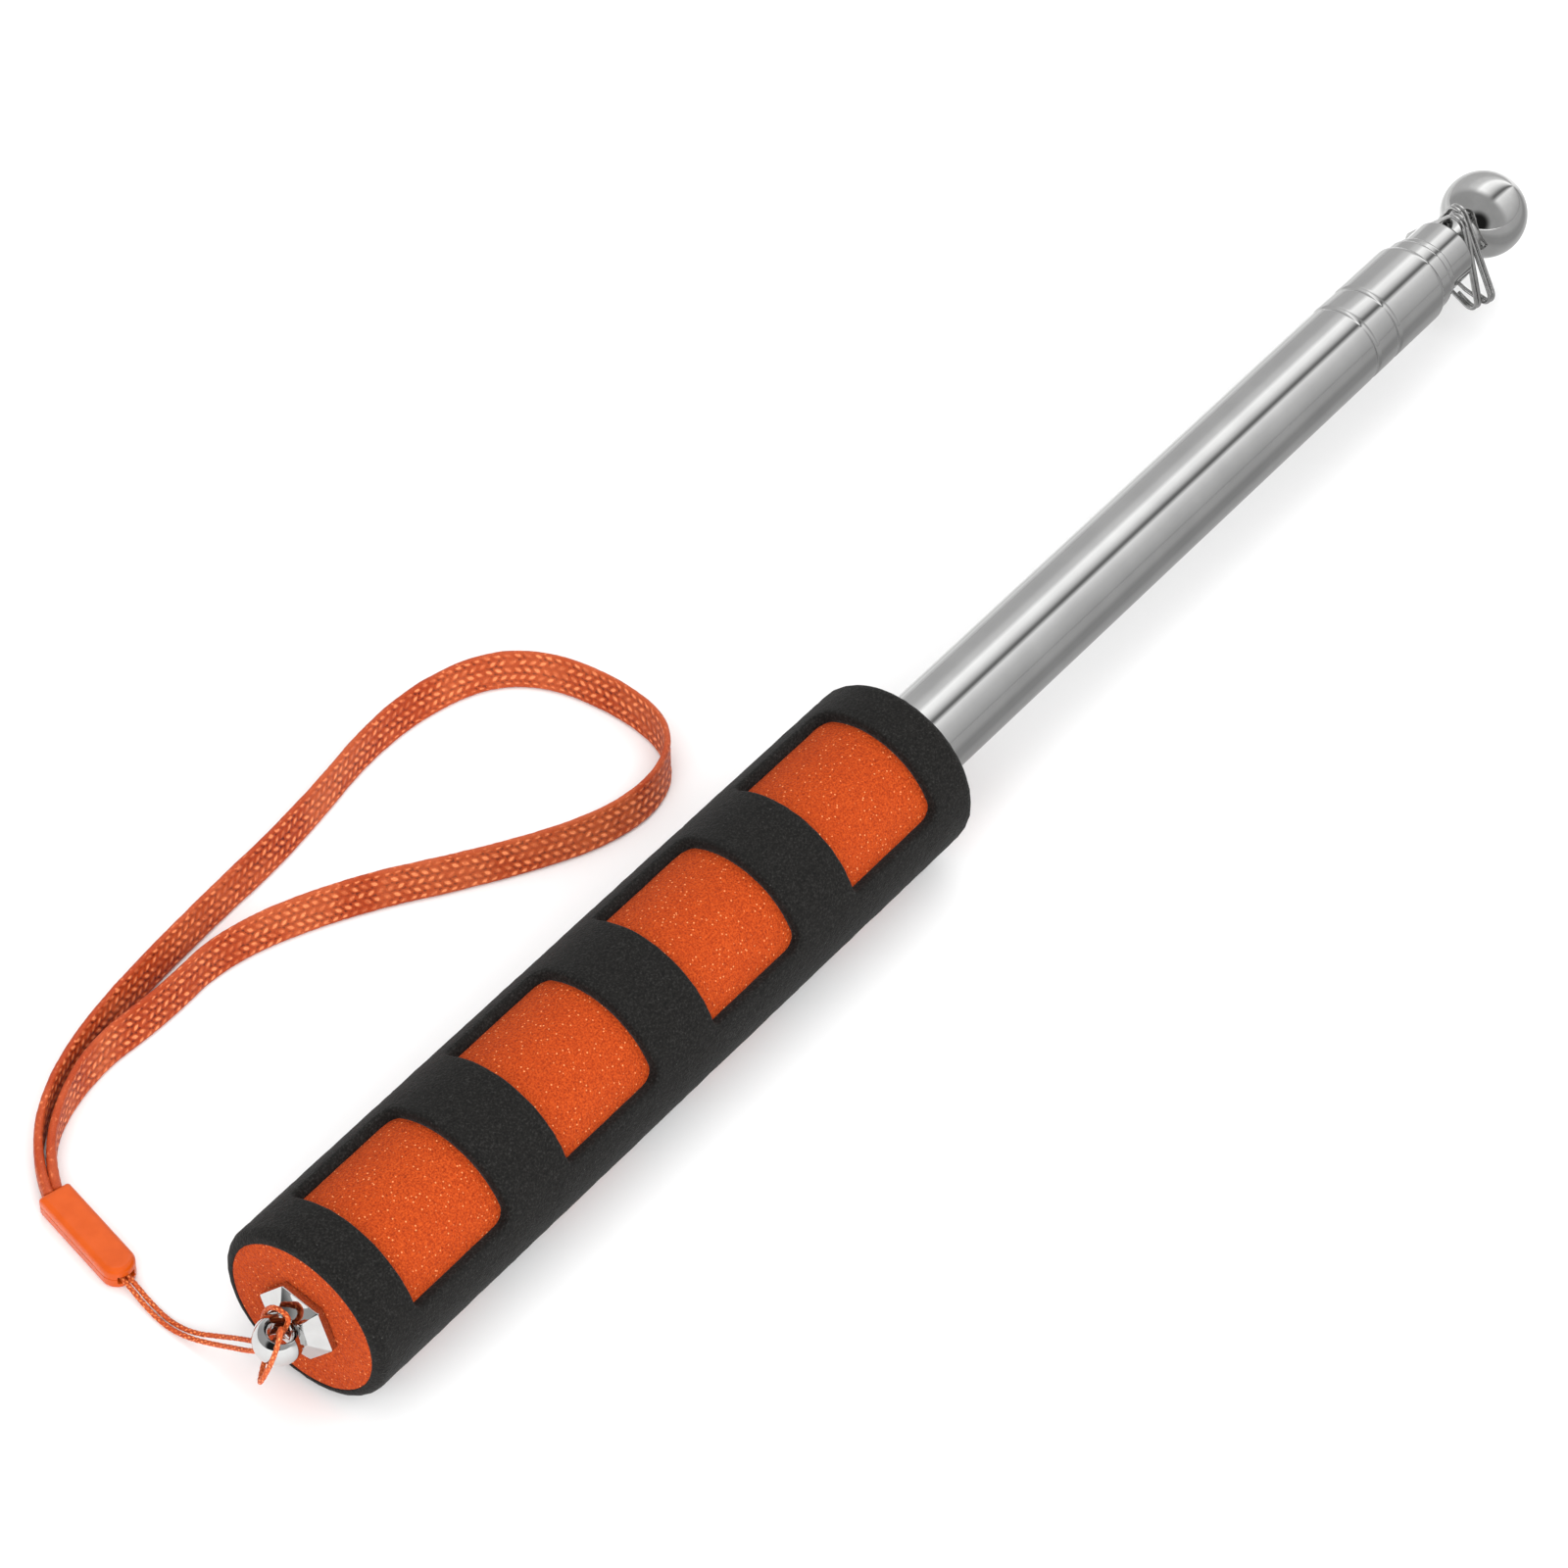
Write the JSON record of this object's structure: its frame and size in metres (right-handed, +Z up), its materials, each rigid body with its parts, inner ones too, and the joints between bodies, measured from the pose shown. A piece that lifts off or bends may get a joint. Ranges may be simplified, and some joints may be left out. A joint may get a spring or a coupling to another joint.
{
  "type": "telescopic hand flagpole",
  "caption": "Closed telescopic hand flagpole: foam grip, polished tube, ball tip with triangular flag rings, and a wrist strap tied to an eye at its butt.",
  "frame": {"origin": "the middle of the pole's length, on the surface it lies on, under its axis", "axes": "+X along the pole from the butt eye to the ball tip, +Z up, +Y to the side the wrist strap lies on"},
  "size_m": [0.3512, 0.0991, 0.0325],
  "materials": {
    "orange_foam": "fine closed-cell foam, matt",
    "black_foam": "fine closed-cell foam, matt",
    "polished_tube": "polished stainless steel",
    "plain_steel": "plain, hidden inside the tubes",
    "spring_brass": "rolled spring strip, hidden inside the tubes",
    "bush_plastic": "moulded, hidden inside the tube",
    "bright_chrome": "mirror chrome",
    "ring_wire": "bright drawn spring wire",
    "orange_gloss": "glossy moulding",
    "orange_webbing": "flat hollow braid with a satin sheen",
    "orange_cord": "thin twisted cord"
  },
  "bodies": {
    "handle": {"outer_tube": "polished_tube", "mouth_bush": "bush_plastic", "foam_core": "orange_foam", "foam_skin": "black_foam", "end_cap": "bright_chrome", "clamp_upper": "orange_gloss", "clamp_lower": "orange_gloss", "wrist_strap": "orange_webbing", "strap_cord": "orange_cord"},
    "section_2": {"section_2_tube": "polished_tube", "section_2_friction_sleeve": "spring_brass", "section_2_stop_collar": "plain_steel"},
    "section_3": {"section_3_tube": "polished_tube", "section_3_friction_sleeve": "spring_brass", "section_3_stop_collar": "plain_steel"},
    "section_4": {"section_4_tube": "polished_tube", "section_4_friction_sleeve": "spring_brass", "section_4_stop_collar": "plain_steel", "tip_plug": "bright_chrome", "tip_ball": "bright_chrome"},
    "ring_inner": {"flag_ring_inner": "ring_wire"},
    "ring_outer": {"flag_ring_outer": "ring_wire"}
  },
  "joints": [
    {"name": "section_2_slide", "type": "slide", "parent": "handle", "child": "section_2", "axis": [1, 0, 0], "range_m": [0, 0.255]},
    {"name": "section_3_slide", "type": "slide", "parent": "section_2", "child": "section_3", "axis": [1, 0, 0], "range_m": [0, 0.275]},
    {"name": "section_4_slide", "type": "slide", "parent": "section_3", "child": "section_4", "axis": [1, 0, 0], "range_m": [0, 0.275]},
    {"name": "ring_inner_swivel", "type": "hinge", "parent": "section_4", "child": "ring_inner", "pos_m": [0.15575, 0, 0.0162], "axis": [0.9697, -0.2418, 0.0349], "continuous": true},
    {"name": "ring_outer_swivel", "type": "hinge", "parent": "section_4", "child": "ring_outer", "pos_m": [0.15755, 0, 0.0162], "axis": [0.9697, -0.2418, 0.0349], "continuous": true}
  ]
}
